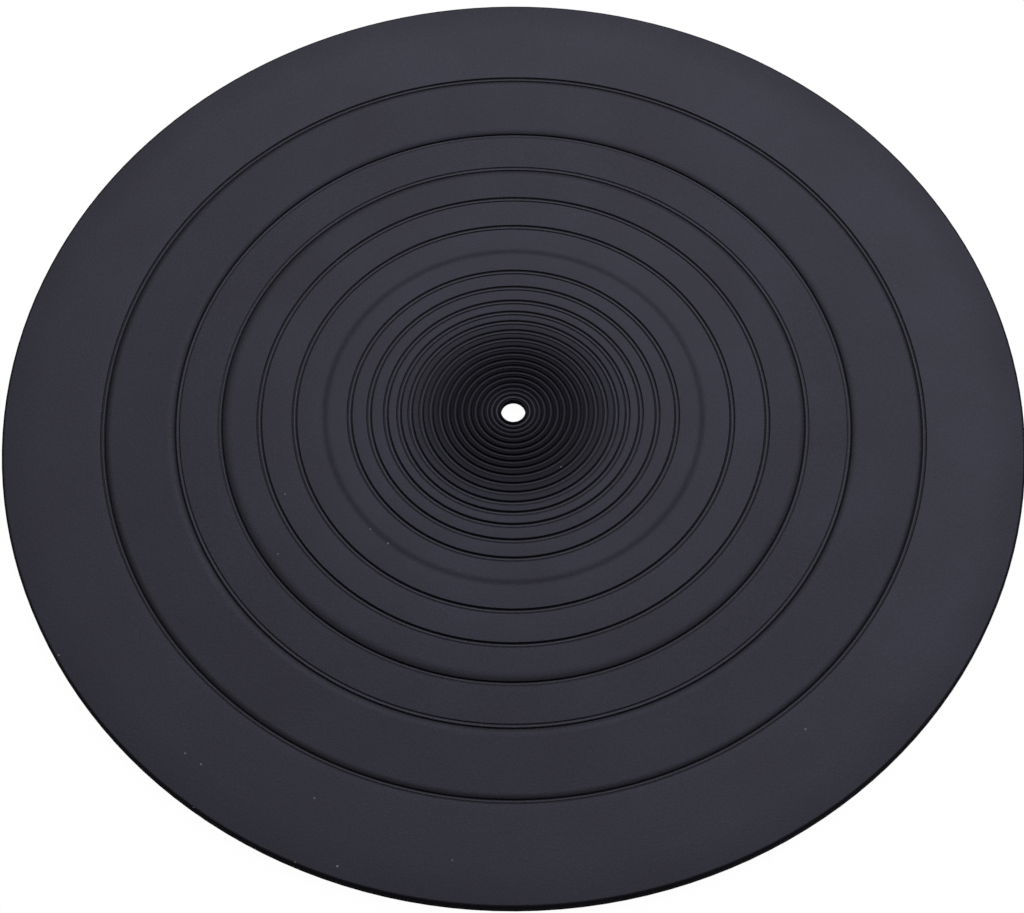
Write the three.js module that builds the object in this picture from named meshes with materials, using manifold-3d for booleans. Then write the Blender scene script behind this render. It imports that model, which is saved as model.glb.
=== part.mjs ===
// A round rubber mat that lies on the platter of a record player.
// Lengths are in millimetres, with +Z up. The origin is on the spindle hole's axis, at the underside.

import * as THREE from 'three';
import { mergeVertices } from 'three/addons/utils/BufferGeometryUtils.js';
import Module from 'manifold-3d';

// Overall sizes
const MAT_DIAMETER = 300;
const MAT_THICKNESS = 3.5;
const RIM_ROUNDING = 0.8;
const SPINDLE_HOLE_DIAMETER = 7.1;

// A shallow recess in the underside thins the mat round the spindle hole
const RECESS_DIAMETER = 12;
const RECESS_DEPTH = 1.5;

// Each moulded ring is a channel with a low bead along its middle, and a crease on each side of the bead.
// One crease is deeper: the inner one, except on the plateau's outer ring.
const RING_WIDTH = 1.8;
const CREASE_SPACING = 1.05;
const DEEP_CREASE_DEPTH = 0.6;
const SHALLOW_CREASE_DEPTH = 0.45;
const BEAD_WIDTH = 0.3;
const BEAD_DROP = 0.33;

// Radii of the rings that bound the wide bands, each to the middle of its bead
const OUTER_LAND_RING_RADIUS = 120.45;
const PLATEAU_OUTER_RING_RADIUS = 98.85;
const PLATEAU_INNER_RING_RADIUS = 86.2;

// Radii of the single rings between the plateau and the fine rings
const FIELD_RING_RADII = [74.7, 64.4, 48.2, 42.45];

// The fine rings start beside the spindle hole, and their pitch grows outwards
const HOLE_TO_FIRST_RING = 1.3;
const FINE_RING_PITCHES = [1.45, 1.35, 1.55, 1.9, 1.95, 2, 2.05, 2.15, 2.3, 2.75, 2.85, 3.2, 3.3, 3.9];

// A band's edge rolls down into the crease beside it
const BAND_EDGE_ROLL_WIDTH = 2.2;
const FIELD_EDGE_ROLL_WIDTH = 2.8;
const EDGE_ROLL_DROP = 0.4;

// One shallow groove, much softer than a ring
const SOFT_GROOVE_RADIUS = 55.5;
const SOFT_GROOVE_WIDTH = 3;
const SOFT_GROOVE_DEPTH = 0.05;

// Facets of the round forms
const RIM_SIDES = 96;
const HOLE_SIDES = 24;
const FINE_RING_SIDES = 28;
const CHORD_ERROR = 0.2;
const ROUNDING_STEPS = 3;
const ROLL_STEPS = 3;

// How far a cutting shape reaches past the surface that it cuts
const CUT_MARGIN = 1;

const RUBBER_COLOUR = 0x2b2a2e;
const RUBBER_ROUGHNESS = 0.55;

const wasm = await Module();
wasm.setup();

// Turns a closed three.js geometry into a solid that can be cut
function toSolid(geometry) {
  geometry.deleteAttribute('normal');
  geometry.deleteAttribute('uv');
  const merged = mergeVertices(geometry);
  const mesh = new wasm.Mesh({
    numProp: 3,
    vertProperties: new Float32Array(merged.attributes.position.array),
    triVerts: new Uint32Array(merged.index.array),
  });
  return new wasm.Manifold(mesh);
}

// Turns a cut solid back into a three.js geometry
function toGeometry(solid) {
  const mesh = solid.getMesh();
  const geometry = new THREE.BufferGeometry();
  geometry.setAttribute('position', new THREE.BufferAttribute(mesh.vertProperties, 3));
  geometry.setIndex(new THREE.BufferAttribute(mesh.triVerts, 1));
  geometry.computeVertexNormals();
  return geometry;
}

// Revolves a profile of [radius, height] points, given anticlockwise, about the hole's axis
function revolve(profile, sides) {
  const points = profile.map(([radius, height]) => new THREE.Vector2(radius, height));
  const geometry = new THREE.LatheGeometry(points, sides);
  geometry.rotateX(Math.PI / 2);
  return toSolid(geometry);
}

// Sides enough to keep a ring's chords within the allowed error, as a multiple of four
function sidesFor(radius) {
  const exact = Math.PI * Math.sqrt(radius / (2 * CHORD_ERROR));
  return 4 * Math.ceil(exact / 4);
}

// The plain disc, with the top edge of its rim rounded
function blankDisc() {
  const radius = MAT_DIAMETER / 2;
  const profile = [[0, 0], [radius, 0]];
  for (let step = 0; step <= ROUNDING_STEPS; step += 1) {
    const angle = (step / ROUNDING_STEPS) * (Math.PI / 2);
    const across = radius - RIM_ROUNDING * (1 - Math.cos(angle));
    const height = MAT_THICKNESS - RIM_ROUNDING * (1 - Math.sin(angle));
    profile.push([across, height]);
  }
  profile.push([0, MAT_THICKNESS]);
  return revolve(profile, RIM_SIDES);
}

// A round cutter on the axis, from one height to another
function plug(diameter, bottom, top) {
  const radius = diameter / 2;
  const geometry = new THREE.CylinderGeometry(radius, radius, top - bottom, HOLE_SIDES);
  geometry.rotateX(Math.PI / 2);
  geometry.translate(0, 0, (bottom + top) / 2);
  return toSolid(geometry);
}

// The hole for the platter's spindle, and the recess round it in the underside
function middleCuts() {
  return [
    plug(SPINDLE_HOLE_DIAMETER, -CUT_MARGIN, MAT_THICKNESS + CUT_MARGIN),
    plug(RECESS_DIAMETER, -CUT_MARGIN, RECESS_DEPTH),
  ];
}

// Cuts everything above a floor, given as [offset from the middle radius, depth] points from inside out
function channel(middle, floor, sides) {
  const above = MAT_THICKNESS + CUT_MARGIN;
  const profile = floor.map(([offset, depth]) => [middle + offset, MAT_THICKNESS - depth]);
  const first = profile[0];
  const last = profile[profile.length - 1];
  profile.push([last[0], above], [first[0], above], first);
  return revolve(profile, sides);
}

// A moulded ring, which leaves its bead standing in the channel
function ring(radius, sides, innerDepth = DEEP_CREASE_DEPTH, outerDepth = SHALLOW_CREASE_DEPTH) {
  const edge = RING_WIDTH / 2;
  const crease = CREASE_SPACING / 2;
  const bead = BEAD_WIDTH / 2;
  const floor = [
    [-edge, 0],
    [-crease, innerDepth],
    [-bead, BEAD_DROP],
    [bead, BEAD_DROP],
    [crease, outerDepth],
    [edge, 0],
  ];
  return channel(radius, floor, sides);
}

// The plateau's outer ring, whose outer crease is the deeper one
function plateauOuterRing() {
  const sides = sidesFor(PLATEAU_OUTER_RING_RADIUS);
  return ring(PLATEAU_OUTER_RING_RADIUS, sides, SHALLOW_CREASE_DEPTH, DEEP_CREASE_DEPTH);
}

// The soft groove, which falls to a blunt point
function softGroove() {
  const half = SOFT_GROOVE_WIDTH / 2;
  const floor = [[-half, 0], [0, SOFT_GROOVE_DEPTH], [half, 0]];
  return channel(SOFT_GROOVE_RADIUS, floor, sidesFor(SOFT_GROOVE_RADIUS));
}

// A rolled edge: the top curves down ever more steeply from `start` to the crease at `end`
function edgeRoll(start, end, sides) {
  const above = MAT_THICKNESS + CUT_MARGIN;
  const fall = [];
  for (let step = 0; step <= ROLL_STEPS; step += 1) {
    const share = step / ROLL_STEPS;
    const across = start + (end - start) * share;
    fall.push([across, MAT_THICKNESS - EDGE_ROLL_DROP * share * share]);
  }
  const profile = [...fall, [end, above], [start, above]];
  if (end < start) {
    profile.reverse();
  }
  profile.push(profile[0]);
  return revolve(profile, sides);
}

// Radii of the fine rings, counted outwards from the spindle hole
function fineRingRadii() {
  const radii = [SPINDLE_HOLE_DIAMETER / 2 + HOLE_TO_FIRST_RING];
  for (const pitch of FINE_RING_PITCHES) {
    radii.push(radii[radii.length - 1] + pitch);
  }
  return radii;
}

// Every cut in the top of the mat
function topCuts() {
  const outerBand = OUTER_LAND_RING_RADIUS - CREASE_SPACING / 2;
  const innerBand = PLATEAU_OUTER_RING_RADIUS + CREASE_SPACING / 2;
  const fieldEdge = PLATEAU_INNER_RING_RADIUS - CREASE_SPACING / 2;
  const cuts = [
    edgeRoll(outerBand - BAND_EDGE_ROLL_WIDTH, outerBand, sidesFor(OUTER_LAND_RING_RADIUS)),
    edgeRoll(innerBand + BAND_EDGE_ROLL_WIDTH, innerBand, sidesFor(PLATEAU_OUTER_RING_RADIUS)),
    edgeRoll(fieldEdge - FIELD_EDGE_ROLL_WIDTH, fieldEdge, sidesFor(PLATEAU_INNER_RING_RADIUS)),
    softGroove(),
    plateauOuterRing(),
  ];
  for (const radius of [OUTER_LAND_RING_RADIUS, PLATEAU_INNER_RING_RADIUS, ...FIELD_RING_RADII]) {
    cuts.push(ring(radius, sidesFor(radius)));
  }
  for (const radius of fineRingRadii()) {
    cuts.push(ring(radius, FINE_RING_SIDES));
  }
  return cuts;
}

// The whole mat: one moulding, with its hole, its recess and its rings cut into the blank
function platterMat() {
  let solid = blankDisc();
  for (const cut of [...middleCuts(), ...topCuts()]) {
    solid = solid.subtract(cut);
  }
  const material = new THREE.MeshStandardMaterial({
    color: RUBBER_COLOUR,
    roughness: RUBBER_ROUGHNESS,
    metalness: 0,
    flatShading: true,
  });
  const mesh = new THREE.Mesh(toGeometry(solid), material);
  mesh.name = 'platter_mat';
  return mesh;
}

const turntableMat = new THREE.Group();
turntableMat.add(platterMat());

export default turntableMat;
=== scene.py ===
"""The turntable platter mat: a ringed rubber mat on a white table, seen from the front and above."""

import math

import bpy
from mathutils import Matrix, Vector


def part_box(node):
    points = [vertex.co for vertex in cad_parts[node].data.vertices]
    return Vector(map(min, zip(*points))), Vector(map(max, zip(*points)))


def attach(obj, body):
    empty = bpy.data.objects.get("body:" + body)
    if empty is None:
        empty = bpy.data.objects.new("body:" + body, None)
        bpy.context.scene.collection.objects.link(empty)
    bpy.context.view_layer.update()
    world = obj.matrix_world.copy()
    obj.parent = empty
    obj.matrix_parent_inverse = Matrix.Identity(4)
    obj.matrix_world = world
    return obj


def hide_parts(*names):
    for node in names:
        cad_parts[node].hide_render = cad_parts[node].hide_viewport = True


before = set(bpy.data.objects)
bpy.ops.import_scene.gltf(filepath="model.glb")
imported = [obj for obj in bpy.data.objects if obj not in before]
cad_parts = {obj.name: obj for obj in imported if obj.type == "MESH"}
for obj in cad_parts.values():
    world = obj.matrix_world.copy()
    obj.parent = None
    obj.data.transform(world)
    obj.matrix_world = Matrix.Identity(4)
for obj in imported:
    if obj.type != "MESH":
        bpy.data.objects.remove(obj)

bl_info = {
    "name": "Turntable platter mat",
    "version": (1, 0, 0),
    "blender": (4, 5, 0),
    "location": "3D View > Sidebar > Platter Mat",
    "description": "Builds a ringed rubber platter mat and the table, light and camera to look at it",
    "category": "Add Mesh",
}

MM = 0.001
MAT_NODE = "platter_mat"
MAT_BODY = "root"
MAT_LOW, MAT_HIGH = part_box(MAT_NODE)
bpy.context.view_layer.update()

# Spacing of the fine rings, from the hole outwards, in millimetres
FINE_PITCHES_MM = (1.45, 1.35, 1.55, 1.9, 1.95, 2, 2.05, 2.15, 2.3, 2.75, 2.85, 3.2, 3.3, 3.9)

# Which way each band ring's rolled edge lies from it, outermost ring first: -1 is inwards, 1 is outwards
ROLL_SIDES = (-1, 1, -1)

# How finely the mesh follows the form: columns round the mat, distances from a ring's middle, shares of a
# rolled edge's width, and steps of a rounding
MAT_COLUMNS = 160
RING_SAMPLES = [offset * MM for offset in (0, 0.1, 0.2, 0.32, 0.44, 0.525, 0.6, 0.7, 0.8, 0.88, 0.96)]
ROLL_SHARES = (-0.1, 0, 0.2, 0.4, 0.55, 0.7, 0.82, 0.92)
ROUNDING_STEPS = 6

# Samples on the plain lands: the first one in from the rim's rounding, the widest spacing and the closest
LAND_EDGE = 0.2 * MM
LAND_SPACING = 5 * MM
CLOSEST_SAMPLES = 0.04 * MM

# How dull and how darkened the rubber is: in the creases and on each rolled edge the darker colour is painted
# shade, with added roughness; in the soft groove and on the wide bands the rubber is made darker and rougher
CREASE_DULLNESS_AND_SHADE = 0.3
ROLL_DULLNESS_AND_SHADE = (0.75, 0.6, 0.65)
SOFT_DULLNESS = 0.3
BAND_DULLNESS = 0.04

# Painted shade with added roughness in the middle, among the close fine rings, and the radii between which
# that fades away
CENTRE_DULLNESS_AND_SHADE = 0.8
CENTRE_FADE = (17 * MM, 34 * MM)

# A faint painted shade with added roughness on the land by the rim, and how far inwards that fades away
RIM_DULLNESS_AND_SHADE = 0.12
RIM_FADE = 12 * MM

# Painted shade with added roughness on the rim's wall, strongest at its top, and how far in from the rim that
# counts as wall
WALL_DULLNESS_AND_SHADE = 0.8
RIM_WALL = 0.75 * MM

# How rubbed the bead tops are, more so by the hole, and how rubbed the outer land is: the bead tops are
# lightened partly by wear and partly by a painted highlight
BEAD_WEAR_AND_HIGHLIGHT = 0.5
HOLE_WEAR_AND_HIGHLIGHT_FADE = (5 * MM, 7.5 * MM)
LAND_WEAR = 0.04

# The rubber's noises: detail, and the two raw values that become 0 and 1
CLOUD_NOISE = (3.0, 0.35, 0.65)
FLECK_NOISE = (1.0, 0.66, 0.8)
GRAIN_NOISE = (2.0, 0.3, 0.7)
SPECK_NOISE = (1.0, 0.3, 0.7)

# What the patches and the grain add to the roughness, what is taken off again all over, so that it stays
# near the set value, and what full wear takes off
CLOUD_ROUGHNESS = 0.06
GRAIN_ROUGHNESS = 0.08
ROUGHNESS_OFFSET = 0.05
WORN_SMOOTHNESS = 0.2

# Pale specks of dust: place across and along the mat, and width, all in millimetres
DUST_SPECKS = [
    (13.8, -18.7, 0.5), (-36.0, -42.9, 0.5), (-41.2, -38.4, 0.4), (-127.2, -76.9, 0.5),
    (-90.2, -106.1, 0.5), (-85.7, -109.3, 0.5), (-54.5, -119.2, 0.5), (-47.7, -138.3, 0.6),
    (-59.0, -137.1, 0.4), (-87.1, -121.6, 0.4), (79.6, -100.2, 0.5), (-66.1, -27.0, 0.4),
    (-67.3, -46.1, 0.4), (-17.0, -97.0, 0.8), (-17.1, -136.8, 0.4),
]

# How a speck's outline is roughened, and how strongly the specks show
SPECK_ROUGHENING_SIZE = 0.25 * MM
SPECK_ROUGHENING = 0.5
SPECK_STRENGTH = 1.6

# The Mix node's colour sockets share their names with its number sockets, so they are taken by place
MIX_FIRST_COLOUR = 6
MIX_SECOND_COLOUR = 7
MIX_RESULT_COLOUR = 2

# The table: half its width, its finish, and the white that the camera sees it mixed with
TABLE_HALF_WIDTH = 6.0
TABLE_COLOUR = (0.5, 0.5, 0.5, 1)
TABLE_ROUGHNESS = 0.9
TABLE_GLOSS = 0.1
TABLE_GLOW = 1.03
TABLE_GLOW_SHARE = 0.95

# The two soft lamps: where they hang, and their width and length
BACK_LAMP_PLACE = (0.22, 0.75, 1.15)
BACK_LAMP_SIZE = (1.7, 1.4)
TOP_LAMP_PLACE = (0.3, 0.1, 1.3)
TOP_LAMP_SIZE = (1.0, 1.0)

# The photograph's frame, from which the camera's lens is worked out, and the nearest that it sees
PHOTO_WIDTH = 1024
SENSOR_WIDTH = 36.0
NEAREST_SEEN = 10 * MM


class MatSizes(bpy.types.PropertyGroup):
    """Sizes of the mat. Its diameter and thickness come from the frame."""

    rim_rounding: bpy.props.FloatProperty(
        name="Rim rounding", description="Radius of the rim's top edge", default=0.8 * MM, unit="LENGTH")
    foot_rounding: bpy.props.FloatProperty(
        name="Foot rounding", description="Radius of the rim's bottom edge", default=0.3 * MM, unit="LENGTH")
    hole_diameter: bpy.props.FloatProperty(
        name="Spindle hole", description="Diameter of the spindle hole", default=7.1 * MM, unit="LENGTH")
    hole_rounding: bpy.props.FloatProperty(
        name="Hole rounding", description="Radius of the hole's top edge", default=0.25 * MM, unit="LENGTH")
    bead_width: bpy.props.FloatProperty(
        name="Bead width", description="Width of a ring's bead across its top", default=0.3 * MM,
        unit="LENGTH")
    bead_drop: bpy.props.FloatProperty(
        name="Bead drop", description="How far a bead's top lies below the lands", default=0.33 * MM,
        unit="LENGTH")
    crease_spacing: bpy.props.FloatProperty(
        name="Crease spacing", description="Between the bottoms of a ring's two creases", default=1.05 * MM,
        unit="LENGTH")
    deep_crease: bpy.props.FloatProperty(
        name="Deep crease", description="Depth of a ring's deeper crease below the lands", default=0.6 * MM,
        unit="LENGTH")
    shallow_crease: bpy.props.FloatProperty(
        name="Shallow crease", description="Depth of a ring's other crease below the lands",
        default=0.45 * MM, unit="LENGTH")
    roll_creases: bpy.props.FloatVectorProperty(
        name="Creases by the rolls", description="Depth of each band ring's crease beside its rolled edge",
        size=3, default=(0.6 * MM, 0.85 * MM, 0.78 * MM), unit="LENGTH")
    middle_band_drop: bpy.props.FloatProperty(
        name="Middle band drop", description="How far the middle band lies below the other lands",
        default=0.28 * MM, unit="LENGTH")
    middle_bead_drop: bpy.props.FloatProperty(
        name="Middle bead drop", description="How far the beads by the middle band lie below the lands",
        default=0.45 * MM, unit="LENGTH")
    middle_crease: bpy.props.FloatProperty(
        name="Middle crease", description="Depth of the creases along the middle band's edges",
        default=0.53 * MM, unit="LENGTH")
    ring_width: bpy.props.FloatProperty(
        name="Ring width", description="Width of a whole ring, from land to land", default=1.8 * MM,
        unit="LENGTH")
    band_ring_radii: bpy.props.FloatVectorProperty(
        name="Band rings", description="Radii of the rings that bound the wide bands, from the outermost in",
        size=3, default=(120.45 * MM, 98.85 * MM, 86.2 * MM), unit="LENGTH")
    field_ring_radii: bpy.props.FloatVectorProperty(
        name="Field rings", description="Radii of the single rings inside the bands",
        size=4, default=(74.7 * MM, 64.4 * MM, 48.2 * MM, 42.45 * MM), unit="LENGTH")
    hole_to_first_ring: bpy.props.FloatProperty(
        name="First fine ring", description="From the hole's edge to the first fine ring",
        default=1.3 * MM, unit="LENGTH")
    fine_ring_pitches: bpy.props.FloatVectorProperty(
        name="Fine ring pitches", description="Spacing of the fine rings, from the hole outwards", size=14,
        default=[pitch * MM for pitch in FINE_PITCHES_MM], unit="LENGTH")
    roll_widths: bpy.props.FloatVectorProperty(
        name="Edge rolls", description="How wide the edge beside each band ring rolls down, outermost first",
        size=3, default=(1.8 * MM, 2.6 * MM, 2.8 * MM), unit="LENGTH")
    roll_drops: bpy.props.FloatVectorProperty(
        name="Edge roll drops", description="How far the edge beside each band ring falls, outermost first",
        size=3, default=(0.35 * MM, 0.42 * MM, 0.38 * MM), unit="LENGTH")
    soft_groove_radius: bpy.props.FloatProperty(
        name="Soft groove radius", description="Radius of the one soft groove", default=55.5 * MM,
        unit="LENGTH")
    soft_groove_width: bpy.props.FloatProperty(
        name="Soft groove width", description="Width of the soft groove", default=3 * MM, unit="LENGTH")
    soft_groove_depth: bpy.props.FloatProperty(
        name="Soft groove depth", description="Depth of the soft groove", default=0.05 * MM, unit="LENGTH")
    recess_diameter: bpy.props.FloatProperty(
        name="Underside recess", description="Diameter of the shallow recess under the hole",
        default=12 * MM, unit="LENGTH")
    recess_depth: bpy.props.FloatProperty(
        name="Recess depth", description="Depth of the recess under the hole", default=1.5 * MM,
        unit="LENGTH")


class MatLook(bpy.types.PropertyGroup):
    """Colours and finish of the rubber."""

    rubber_colour: bpy.props.FloatVectorProperty(
        name="Rubber", description="Colour of the clean rubber", subtype="COLOR", size=3,
        default=(0.0105, 0.0098, 0.0110))
    bloom_colour: bpy.props.FloatVectorProperty(
        name="Bloom", description="Colour where the rubber is a little greyer and warmer", subtype="COLOR",
        size=3, default=(0.0140, 0.0125, 0.0125))
    # Partly wear and partly a painted highlight: the lighter, bluish colour of the bead tops
    worn_and_highlight_colour: bpy.props.FloatVectorProperty(
        name="Worn and lit bead", description="Colour of the rubbed tops of the beads", subtype="COLOR", size=3,
        default=(0.050, 0.048, 0.058))
    # Painted shade: the darker colour laid into the creases, the rolled edges, the middle and the rim wall,
    # where the rubber is also made rougher
    dull_and_shade_colour: bpy.props.FloatVectorProperty(
        name="Dull and shaded rubber", description="Colour where the rubber is fully dull", subtype="COLOR", size=3,
        default=(0.002, 0.002, 0.0025))
    dull_roughness: bpy.props.FloatProperty(
        name="Dull roughness", description="Added roughness where the rubber is fully dull", default=0.5,
        min=0, max=1)
    dust_colour: bpy.props.FloatVectorProperty(
        name="Dust", description="Colour of the dust specks", subtype="COLOR", size=3,
        default=(0.16, 0.155, 0.15))
    roughness: bpy.props.FloatProperty(
        name="Roughness", description="Roughness of the clean rubber", default=0.45, min=0, max=1)
    gloss_level: bpy.props.FloatProperty(
        name="Gloss", description="Specular level of the rubber", default=0.265, min=0, max=1)
    sheen_colour: bpy.props.FloatVectorProperty(
        name="Sheen", description="Tint of the rubber's reflections", subtype="COLOR", size=3,
        default=(0.67, 0.68, 1.0))
    grain_size: bpy.props.FloatProperty(
        name="Grain size", description="Size of the moulded grain", default=0.6 * MM, unit="LENGTH")
    grain_height: bpy.props.FloatProperty(
        name="Grain height", description="Height of the moulded grain", default=0.014 * MM, unit="LENGTH")
    fleck_size: bpy.props.FloatProperty(
        name="Fleck size", description="Size of the scattered pale flecks", default=1.1 * MM, unit="LENGTH")
    fleck_level: bpy.props.FloatProperty(
        name="Fleck level", description="Strength of the scattered pale flecks", default=0.05, min=0, max=1)
    mottle_size: bpy.props.FloatProperty(
        name="Mottle size", description="Size of the cloudy patches", default=28 * MM, unit="LENGTH")


class MatPicture(bpy.types.PropertyGroup):
    """The camera and the light."""

    focal_pixels: bpy.props.FloatProperty(
        name="Focal length", description="Focal length in pixels of the photograph", default=2334.5)
    pitch: bpy.props.FloatProperty(
        name="Pitch", description="How far the camera looks down", default=math.radians(62.27),
        subtype="ANGLE")
    roll: bpy.props.FloatProperty(
        name="Roll", description="Turn of the camera about its view", default=math.radians(-0.342),
        subtype="ANGLE")
    distance: bpy.props.FloatProperty(
        name="Distance", description="From the camera to the point it aims at", default=683.9 * MM,
        unit="LENGTH")
    aim: bpy.props.FloatVectorProperty(
        name="Aim", description="The point on the table that the camera aims at", size=3,
        default=(-0.45 * MM, -13.32 * MM, 0), subtype="TRANSLATION")
    back_light: bpy.props.FloatProperty(
        name="Back light", description="Power of the large soft lamp behind the mat", default=24.0,
        unit="POWER")
    fill_light: bpy.props.FloatProperty(
        name="Fill light", description="Power of the soft lamp overhead", default=0.5, unit="POWER")
    room_level: bpy.props.FloatProperty(
        name="Room level", description="Strength of the light from all round", default=0.07)


def fine_rings(sizes):
    """Radii of the fine rings, from the one beside the hole outwards."""
    radii = [sizes.hole_diameter / 2 + sizes.hole_to_first_ring]
    for pitch in sizes.fine_ring_pitches:
        radii.append(radii[-1] + pitch)
    return radii


def all_rings(sizes):
    """Radii of every moulded ring."""
    return [*sizes.band_ring_radii, *sizes.field_ring_radii, *fine_rings(sizes)]


def edge_rolls(sizes):
    """The rolled edges, outermost first: where each starts to fall, and the crease that it falls to."""
    crease = sizes.crease_spacing / 2
    rolls = []
    for ring, side, width in zip(sizes.band_ring_radii, ROLL_SIDES, sizes.roll_widths):
        end = ring + side * crease
        rolls.append((end + side * width, end))
    return rolls


def ease(share):
    """A smooth step from 0 to 1."""
    share = min(max(share, 0.0), 1.0)
    return share * share * (3 - 2 * share)


def nearest_ring(sizes, radius):
    """Radius of the ring nearest to a radius."""
    return min(all_rings(sizes), key=lambda ring: abs(radius - ring))


def on_deep_side(sizes, radius):
    """Whether a radius lies on the side of its nearest ring that has the deeper crease."""
    ring = nearest_ring(sizes, radius)
    # That is the inner side, except on the second band ring
    return (radius < ring) != (ring == sizes.band_ring_radii[1])


def land_drop(sizes, radius):
    """How far the land at a radius lies below the highest lands: only the middle band lies lower."""
    middle, inner = list(sizes.band_ring_radii)[1:]
    return sizes.middle_band_drop if inner < radius < middle else 0.0


def crease_form(sizes, radius):
    """Depth of the crease on this side of the nearest ring, and the strength of the painted shade and added
    roughness in it.
    """
    ring = nearest_ring(sizes, radius)
    if land_drop(sizes, radius):
        return sizes.middle_crease, CREASE_DULLNESS_AND_SHADE
    if not on_deep_side(sizes, radius):
        return sizes.shallow_crease, CREASE_DULLNESS_AND_SHADE
    for band_ring, depth, dull_and_shaded in zip(sizes.band_ring_radii, sizes.roll_creases, ROLL_DULLNESS_AND_SHADE):
        if ring == band_ring:
            return depth, dull_and_shaded
    return sizes.deep_crease, CREASE_DULLNESS_AND_SHADE


def ring_depth(sizes, radius):
    """Depth of the nearest ring's section at a radius: bead, crease, then the wall up to the land."""
    ring = nearest_ring(sizes, radius)
    distance = abs(radius - ring)
    depth = crease_form(sizes, radius)[0]
    drop = sizes.middle_bead_drop if ring in list(sizes.band_ring_radii)[1:] else sizes.bead_drop
    land = land_drop(sizes, radius)
    bead = sizes.bead_width / 2
    crease = sizes.crease_spacing / 2
    wall = (sizes.ring_width - sizes.crease_spacing) / 2
    if distance > crease:
        return depth + (land - depth) * ease((distance - crease) / wall)
    return drop + (depth - drop) * ease((distance - bead) / (crease - bead))


def soft_ring(sizes, radius):
    """How strongly the soft groove shows at a radius, from 0 to 1."""
    return 1 - ease(abs(radius - sizes.soft_groove_radius) / (sizes.soft_groove_width / 2))


def roll_at(sizes, radius):
    """How far the rolled edge at a radius has fallen, and the strength of the painted shade and added
    roughness there: both 0 off the rolls.
    """
    for (start, end), drop, dull_and_shaded in zip(edge_rolls(sizes), sizes.roll_drops, ROLL_DULLNESS_AND_SHADE):
        share = (radius - start) / (end - start)
        if 0 < share <= 1:
            return drop * share * share, dull_and_shaded * share ** 3
    return 0.0, 0.0


def top_depth(sizes, radius):
    """How far the top lies below the lands at a radius."""
    soft = sizes.soft_groove_depth * soft_ring(sizes, radius)
    return max(ring_depth(sizes, radius), roll_at(sizes, radius)[0], soft)


def rim_dullness_and_shade(sizes, radius, height):
    """Painted shade and added roughness by the rim: a faint fade on the land, then the wall, darker and
    rougher at its top.
    """
    inward = MAT_HIGH.x - radius
    if inward > RIM_WALL:
        return RIM_DULLNESS_AND_SHADE * ease(1 - inward / RIM_FADE)
    return WALL_DULLNESS_AND_SHADE * min(height / (MAT_HIGH.z - sizes.rim_rounding), 1.0)


def dullness_and_shade(sizes, radius, height):
    """Strength of the painted shade and added roughness at a point of the profile: most on the rim, in the
    creases and in the middle.
    """
    # Painted shade in the creases, darker where the crease is deeper
    relief = ring_depth(sizes, radius) - land_drop(sizes, radius)
    crease = crease_form(sizes, radius)[1] * relief / sizes.deep_crease
    roll = roll_at(sizes, radius)[1]
    soft = SOFT_DULLNESS * soft_ring(sizes, radius)
    band = BAND_DULLNESS if sizes.field_ring_radii[0] < radius < sizes.band_ring_radii[0] else 0.0
    inward = (CENTRE_FADE[1] - radius) / (CENTRE_FADE[1] - CENTRE_FADE[0])
    centre = CENTRE_DULLNESS_AND_SHADE * min(max(inward, 0.0), 1.0)
    return max(crease, roll, soft, band, centre, rim_dullness_and_shade(sizes, radius, height))


def wear_and_highlight(sizes, radius, height):
    """How rubbed and lighter the rubber is at a point of the profile: the bead tops, partly wear and partly a
    painted highlight, most by the hole, and faintly the outer land.
    """
    if height < MAT_HIGH.z - sizes.deep_crease:
        return 0.0
    # Lighter bead tops by the hole: a painted highlight mixed with the wear
    by_hole = ease((HOLE_WEAR_AND_HIGHLIGHT_FADE[1] - radius) / (HOLE_WEAR_AND_HIGHLIGHT_FADE[1] - HOLE_WEAR_AND_HIGHLIGHT_FADE[0]))
    bead = 1 - ease(abs(radius - nearest_ring(sizes, radius)) / sizes.bead_width)
    land = LAND_WEAR if radius > sizes.band_ring_radii[0] else 0.0
    return max(bead * (BEAD_WEAR_AND_HIGHLIGHT + (1 - BEAD_WEAR_AND_HIGHLIGHT) * by_hole), land)


def spread(start, end, count):
    """Evenly spaced values from start to end, both included."""
    return [start + (end - start) * step / count for step in range(count + 1)]


def sample_radii(sizes, inner, outer):
    """Radii, from outer to inner, at which the top's height is taken: close together where it is fine."""
    wanted = spread(inner, outer, round((outer - inner) / LAND_SPACING))
    for ring in all_rings(sizes):
        wanted += [ring + side * offset for offset in RING_SAMPLES for side in (-1, 1)]
    for start, end in edge_rolls(sizes):
        wanted += [start + (end - start) * share for share in ROLL_SHARES]
    half = sizes.soft_groove_width / 2
    wanted += spread(sizes.soft_groove_radius - half, sizes.soft_groove_radius + half, ROUNDING_STEPS)
    kept = [outer]
    for radius in sorted(wanted + [outer - LAND_EDGE], reverse=True):
        if radius < kept[-1] - CLOSEST_SAMPLES and radius > inner + CLOSEST_SAMPLES:
            kept.append(radius)
    return kept + [inner]


def corner(radius, height, rounding, first, last):
    """A rounded corner of the profile about a centre, between two angles."""
    turns = spread(first, last, ROUNDING_STEPS)
    return [(radius + rounding * math.cos(turn), height + rounding * math.sin(turn)) for turn in turns]


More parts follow.
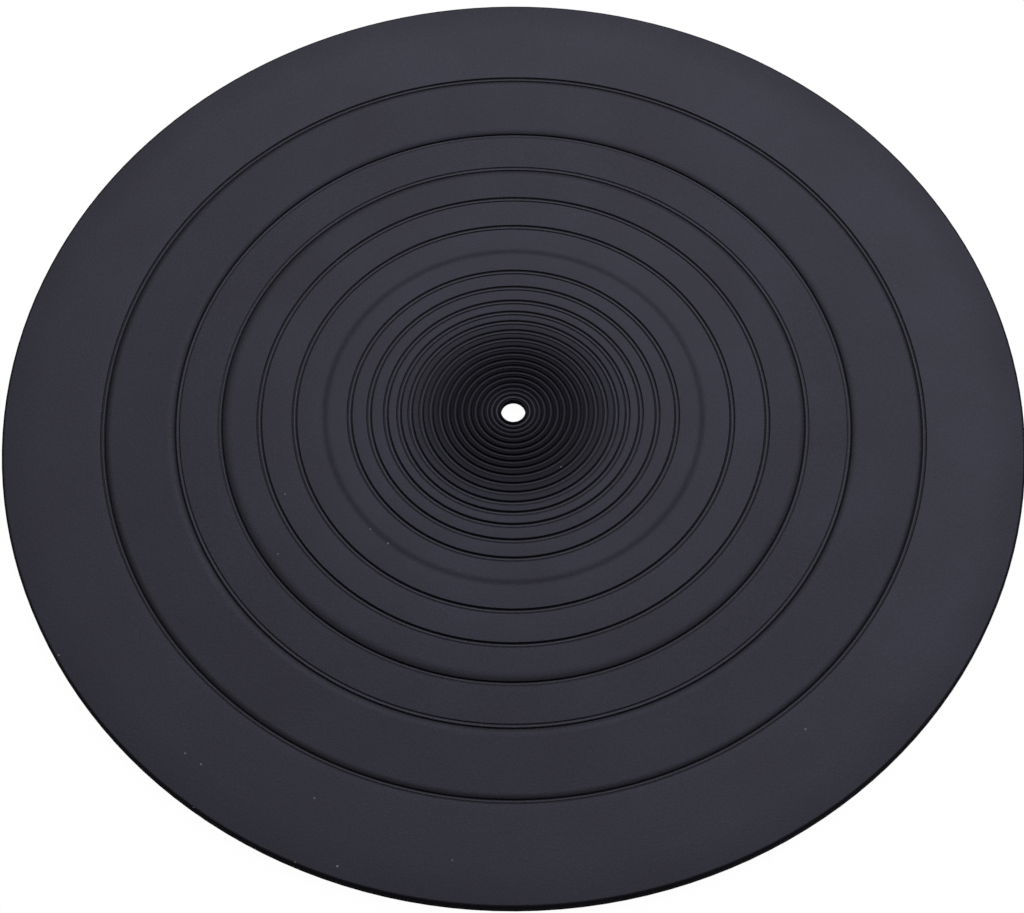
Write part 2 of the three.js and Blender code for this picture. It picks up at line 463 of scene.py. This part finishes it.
def mat_profile(sizes):
    """The mat's closed cross-section as (radius, height), anticlockwise from the hole's bottom edge."""
    bottom, top = MAT_LOW.z, MAT_HIGH.z
    hole = sizes.hole_diameter / 2
    rim = MAT_HIGH.x
    recess = sizes.recess_diameter / 2
    roof = bottom + sizes.recess_depth
    profile = [(hole, roof), (recess, roof), (recess, bottom), (rim / 2, bottom)]
    foot = sizes.foot_rounding
    profile += corner(rim - foot, bottom + foot, foot, -math.pi / 2, 0)
    edge = sizes.rim_rounding
    profile += corner(rim - edge, top - edge, edge, 0, math.pi / 2)[:-1]
    for radius in sample_radii(sizes, hole + sizes.hole_rounding, rim - edge):
        profile.append((radius, top - top_depth(sizes, radius)))
    lip = sizes.hole_rounding
    brim = top - top_depth(sizes, hole + lip)
    profile += corner(hole + lip, brim - lip, lip, math.pi / 2, math.pi)[1:]
    return profile


def revolve(name, profile, columns):
    """A smooth closed mesh: the profile turned about the vertical axis."""
    rows = len(profile)
    points = []
    for column in range(columns):
        turn = 2 * math.pi * column / columns
        points += [(radius * math.cos(turn), radius * math.sin(turn), height) for radius, height in profile]
    faces = []
    for column in range(columns):
        here = column * rows
        there = (column + 1) % columns * rows
        for row in range(rows):
            after = (row + 1) % rows
            faces.append((here + row, there + row, there + after, here + after))
    mesh = bpy.data.meshes.new(name)
    mesh.from_pydata(points, [], faces)
    mesh.shade_smooth()
    mesh.update()
    return mesh


def paint(mesh, name, values):
    """Stores a value for each point of the profile, the same all the way round the mesh."""
    layer = mesh.attributes.new(name, "FLOAT", "POINT")
    layer.data.foreach_set("value", values * MAT_COLUMNS)


def add_to_scene(name, data):
    """A new object holding the data."""
    piece = bpy.data.objects.new(name, data)
    bpy.context.scene.collection.objects.link(piece)
    return piece


def new_material(name):
    """An empty node material: its tree, its output node and its shader."""
    material = bpy.data.materials.new(name)
    material.use_nodes = True
    tree = material.node_tree
    tree.nodes.clear()
    output = tree.nodes.new("ShaderNodeOutputMaterial")
    shader = tree.nodes.new("ShaderNodeBsdfPrincipled")
    return material, tree, output, shader


def math_node(tree, operation, first, second, clamp=False):
    """A Math node's output, fed by links or plain numbers."""
    node = tree.nodes.new("ShaderNodeMath")
    node.operation = operation
    node.use_clamp = clamp
    for socket, value in zip(node.inputs, (first, second)):
        if isinstance(value, bpy.types.NodeSocket):
            tree.links.new(value, socket)
        else:
            socket.default_value = value
    return node.outputs["Value"]


def noise(tree, place, size, form):
    """A soft noise of the given feature size. Its form is the detail and the values that become 0 and 1."""
    detail, low, high = form
    node = tree.nodes.new("ShaderNodeTexNoise")
    node.inputs["Scale"].default_value = 1 / size
    node.inputs["Detail"].default_value = detail
    tree.links.new(place, node.inputs["Vector"])
    stretch = tree.nodes.new("ShaderNodeMapRange")
    stretch.inputs["From Min"].default_value = low
    stretch.inputs["From Max"].default_value = high
    tree.links.new(node.outputs["Fac"], stretch.inputs["Value"])
    return stretch.outputs["Result"]


def blend_colour(tree, share, first, second):
    """A colour between two, by a mask. Each colour is a link or a plain RGB."""
    node = tree.nodes.new("ShaderNodeMix")
    node.data_type = "RGBA"
    tree.links.new(share, node.inputs["Factor"])
    for place, value in ((MIX_FIRST_COLOUR, first), (MIX_SECOND_COLOUR, second)):
        if isinstance(value, bpy.types.NodeSocket):
            tree.links.new(value, node.inputs[place])
        else:
            node.inputs[place].default_value = (*value, 1)
    return node.outputs[MIX_RESULT_COLOUR]


def painted(tree, name):
    """The value that was painted on the mesh under a name."""
    node = tree.nodes.new("ShaderNodeAttribute")
    node.attribute_name = name
    return node.outputs["Fac"]


def dust_mask(tree, place):
    """A mask that is 1 on the dust specks and 0 elsewhere."""
    ragged = noise(tree, place, SPECK_ROUGHENING_SIZE, SPECK_NOISE)
    mask = None
    for across, along, width in DUST_SPECKS:
        away = tree.nodes.new("ShaderNodeVectorMath")
        away.operation = "DISTANCE"
        away.inputs[1].default_value = (across * MM, along * MM, MAT_HIGH.z)
        tree.links.new(place, away.inputs[0])
        share = math_node(tree, "DIVIDE", away.outputs["Value"], width * MM / 2)
        wobbly = math_node(tree, "SUBTRACT", share, math_node(tree, "MULTIPLY", ragged, SPECK_ROUGHENING))
        speck = math_node(tree, "SUBTRACT", 1.0, wobbly, clamp=True)
        mask = speck if mask is None else math_node(tree, "MAXIMUM", mask, speck)
    return math_node(tree, "MULTIPLY", mask, SPECK_STRENGTH, clamp=True)


def rubber_material(look):
    """Black moulded rubber: faint cloudy patches, bead tops lightened partly by wear and partly by a painted
    highlight, painted shade in the creases, middle and rim, a fine grain and a few specks of dust.
    """
    material, tree, output, shader = new_material("black_rubber")
    place = tree.nodes.new("ShaderNodeTexCoord").outputs["Object"]
    worn_and_lit = painted(tree, "wear_and_highlight")
    dull_and_shaded = painted(tree, "dullness_and_shade")

    cloud = noise(tree, place, look.mottle_size, CLOUD_NOISE)
    colour = blend_colour(tree, cloud, look.rubber_colour, look.bloom_colour)
    # Painted shade: a darker colour in the creases, on the rolled edges, in the middle and on the rim wall
    colour = blend_colour(tree, dull_and_shaded, colour, look.dull_and_shade_colour)
    # Lighter bead tops: partly wear, partly a painted highlight
    colour = blend_colour(tree, worn_and_lit, colour, look.worn_and_highlight_colour)
    flecks = math_node(tree, "MULTIPLY", noise(tree, place, look.fleck_size, FLECK_NOISE), look.fleck_level)
    dust = math_node(tree, "MAXIMUM", dust_mask(tree, place), flecks)
    colour = blend_colour(tree, dust, colour, look.dust_colour)
    tree.links.new(colour, shader.inputs["Base Color"])

    grain = noise(tree, place, look.grain_size, GRAIN_NOISE)
    patches = math_node(tree, "MULTIPLY", cloud, CLOUD_ROUGHNESS)
    rough = math_node(tree, "ADD", math_node(tree, "MULTIPLY", grain, GRAIN_ROUGHNESS), patches)
    rough = math_node(tree, "ADD", rough, math_node(tree, "MULTIPLY", dull_and_shaded, look.dull_roughness))
    rough = math_node(tree, "SUBTRACT", rough, math_node(tree, "MULTIPLY", worn_and_lit, WORN_SMOOTHNESS))
    rough = math_node(tree, "ADD", rough, look.roughness - ROUGHNESS_OFFSET)
    tree.links.new(rough, shader.inputs["Roughness"])
    shader.inputs["Specular IOR Level"].default_value = look.gloss_level
    shader.inputs["Specular Tint"].default_value = (*look.sheen_colour, 1)

    bump = tree.nodes.new("ShaderNodeBump")
    bump.inputs["Distance"].default_value = look.grain_height
    tree.links.new(grain, bump.inputs["Height"])
    tree.links.new(bump.outputs["Normal"], shader.inputs["Normal"])
    tree.links.new(shader.outputs["BSDF"], output.inputs["Surface"])
    return material


def seen_by_camera(tree):
    """A mask that is 1 for what the camera sees directly."""
    return tree.nodes.new("ShaderNodeLightPath").outputs["Is Camera Ray"]


def table_material():
    """A pale matt table that is nearly white to the camera and keeps the mat's shadow."""
    material, tree, output, shader = new_material("pale_table")
    shader.inputs["Base Color"].default_value = TABLE_COLOUR
    shader.inputs["Roughness"].default_value = TABLE_ROUGHNESS
    shader.inputs["Specular IOR Level"].default_value = TABLE_GLOSS
    glow = tree.nodes.new("ShaderNodeEmission")
    glow.inputs["Strength"].default_value = TABLE_GLOW
    mixed = tree.nodes.new("ShaderNodeMixShader")
    share = math_node(tree, "MULTIPLY", seen_by_camera(tree), TABLE_GLOW_SHARE)
    tree.links.new(share, mixed.inputs[0])
    tree.links.new(shader.outputs["BSDF"], mixed.inputs[1])
    tree.links.new(glow.outputs["Emission"], mixed.inputs[2])
    tree.links.new(mixed.outputs["Shader"], output.inputs["Surface"])
    return material


def white_room(level):
    """A world that is white to the camera and lights the mat faintly from all round."""
    world = bpy.data.worlds.new("white_room")
    world.use_nodes = True
    tree = world.node_tree
    background = tree.nodes["Background"]
    background.inputs["Color"].default_value = (1, 1, 1, 1)
    strength = math_node(tree, "MULTIPLY", seen_by_camera(tree), 1 - level)
    tree.links.new(math_node(tree, "ADD", strength, level), background.inputs["Strength"])
    bpy.context.scene.world = world


def soft_lamp(name, place, size, power):
    """A rectangular lamp at a place, facing the mat's middle."""
    lamp = bpy.data.lights.new(name, "AREA")
    lamp.shape = "RECTANGLE"
    lamp.size, lamp.size_y = size
    lamp.energy = power
    holder = add_to_scene(name, lamp)
    holder.location = place
    holder.rotation_euler = (-Vector(place)).to_track_quat("-Z", "Y").to_euler()
    holder.visible_camera = False


def front_camera(picture):
    """The camera at the photograph's angle, distance and lens."""
    lens = bpy.data.cameras.new("front_camera")
    lens.sensor_width = SENSOR_WIDTH
    lens.lens = picture.focal_pixels / PHOTO_WIDTH * SENSOR_WIDTH
    lens.clip_start = NEAREST_SEEN
    forward = Vector((0, math.cos(picture.pitch), -math.sin(picture.pitch)))
    level_right = Vector((1, 0, 0))
    level_up = level_right.cross(forward)
    turn = picture.roll
    right = math.cos(turn) * level_right + math.sin(turn) * level_up
    up = math.cos(turn) * level_up - math.sin(turn) * level_right
    camera = add_to_scene("front_camera", lens)
    axes = Matrix((right, up, -forward)).transposed()
    camera.matrix_world = Matrix.Translation(Vector(picture.aim) - picture.distance * forward) @ axes.to_4x4()
    bpy.context.scene.camera = camera


class PLATTERMAT_OT_mat(bpy.types.Operator):
    """Builds the rubber mat in place of its plain solid"""

    bl_idname = "plattermat.mat"
    bl_label = "Build the mat"

    def execute(self, context):
        sizes = context.scene.mat_sizes
        profile = mat_profile(sizes)
        mesh = revolve("rubber_mat", profile, MAT_COLUMNS)
        # The bead tops get wear and a painted highlight, and the hollows, middle and rim get painted shade
        # with added roughness, stored on the mesh
        paint(mesh, "wear_and_highlight", [wear_and_highlight(sizes, radius, height) for radius, height in profile])
        paint(mesh, "dullness_and_shade", [dullness_and_shade(sizes, radius, height) for radius, height in profile])
        mesh.materials.append(rubber_material(context.scene.mat_look))
        mat = add_to_scene("rubber_mat", mesh)
        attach(mat, MAT_BODY)
        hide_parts(MAT_NODE)
        return {"FINISHED"}


class PLATTERMAT_OT_stage(bpy.types.Operator):
    """Sets the table, the lamps, the white room and the camera"""

    bl_idname = "plattermat.stage"
    bl_label = "Set the stage"

    def execute(self, context):
        picture = context.scene.mat_picture
        half = TABLE_HALF_WIDTH
        mesh = bpy.data.meshes.new("table")
        corners = [(-half, -half, 0), (half, -half, 0), (half, half, 0), (-half, half, 0)]
        mesh.from_pydata(corners, [], [(0, 1, 2, 3)])
        mesh.materials.append(table_material())
        table = add_to_scene("table", mesh)
        white_room(picture.room_level)
        soft_lamp("back_lamp", BACK_LAMP_PLACE, BACK_LAMP_SIZE, picture.back_light)
        soft_lamp("top_lamp", TOP_LAMP_PLACE, TOP_LAMP_SIZE, picture.fill_light)
        front_camera(picture)
        context.scene.view_settings.view_transform = "Standard"
        return {"FINISHED"}


class PLATTERMAT_PT_panel(bpy.types.Panel):
    """Lists the mat's sizes, its look and the steps that build it"""

    bl_idname = "PLATTERMAT_PT_panel"
    bl_label = "Platter mat"
    bl_space_type = "VIEW_3D"
    bl_region_type = "UI"
    bl_category = "Platter Mat"

    def draw(self, context):
        for group in (context.scene.mat_sizes, context.scene.mat_look, context.scene.mat_picture):
            column = self.layout.column()
            for name in group.__annotations__:
                column.prop(group, name)
        self.layout.operator(PLATTERMAT_OT_mat.bl_idname)
        self.layout.operator(PLATTERMAT_OT_stage.bl_idname)


CLASSES = (MatSizes, MatLook, MatPicture, PLATTERMAT_OT_mat, PLATTERMAT_OT_stage, PLATTERMAT_PT_panel)


def register():
    """Registers the classes, and gives the scene its three groups of values."""
    for item in CLASSES:
        bpy.utils.register_class(item)
    bpy.types.Scene.mat_sizes = bpy.props.PointerProperty(type=MatSizes)
    bpy.types.Scene.mat_look = bpy.props.PointerProperty(type=MatLook)
    bpy.types.Scene.mat_picture = bpy.props.PointerProperty(type=MatPicture)


def unregister():
    """Takes the groups off the scene, and unregisters the classes."""
    del bpy.types.Scene.mat_picture
    del bpy.types.Scene.mat_look
    del bpy.types.Scene.mat_sizes
    for item in reversed(CLASSES):
        bpy.utils.unregister_class(item)


def main():
    """Builds the mat and the stage."""
    register()
    bpy.ops.plattermat.mat()
    bpy.ops.plattermat.stage()


if __name__ == "__main__":
    main()
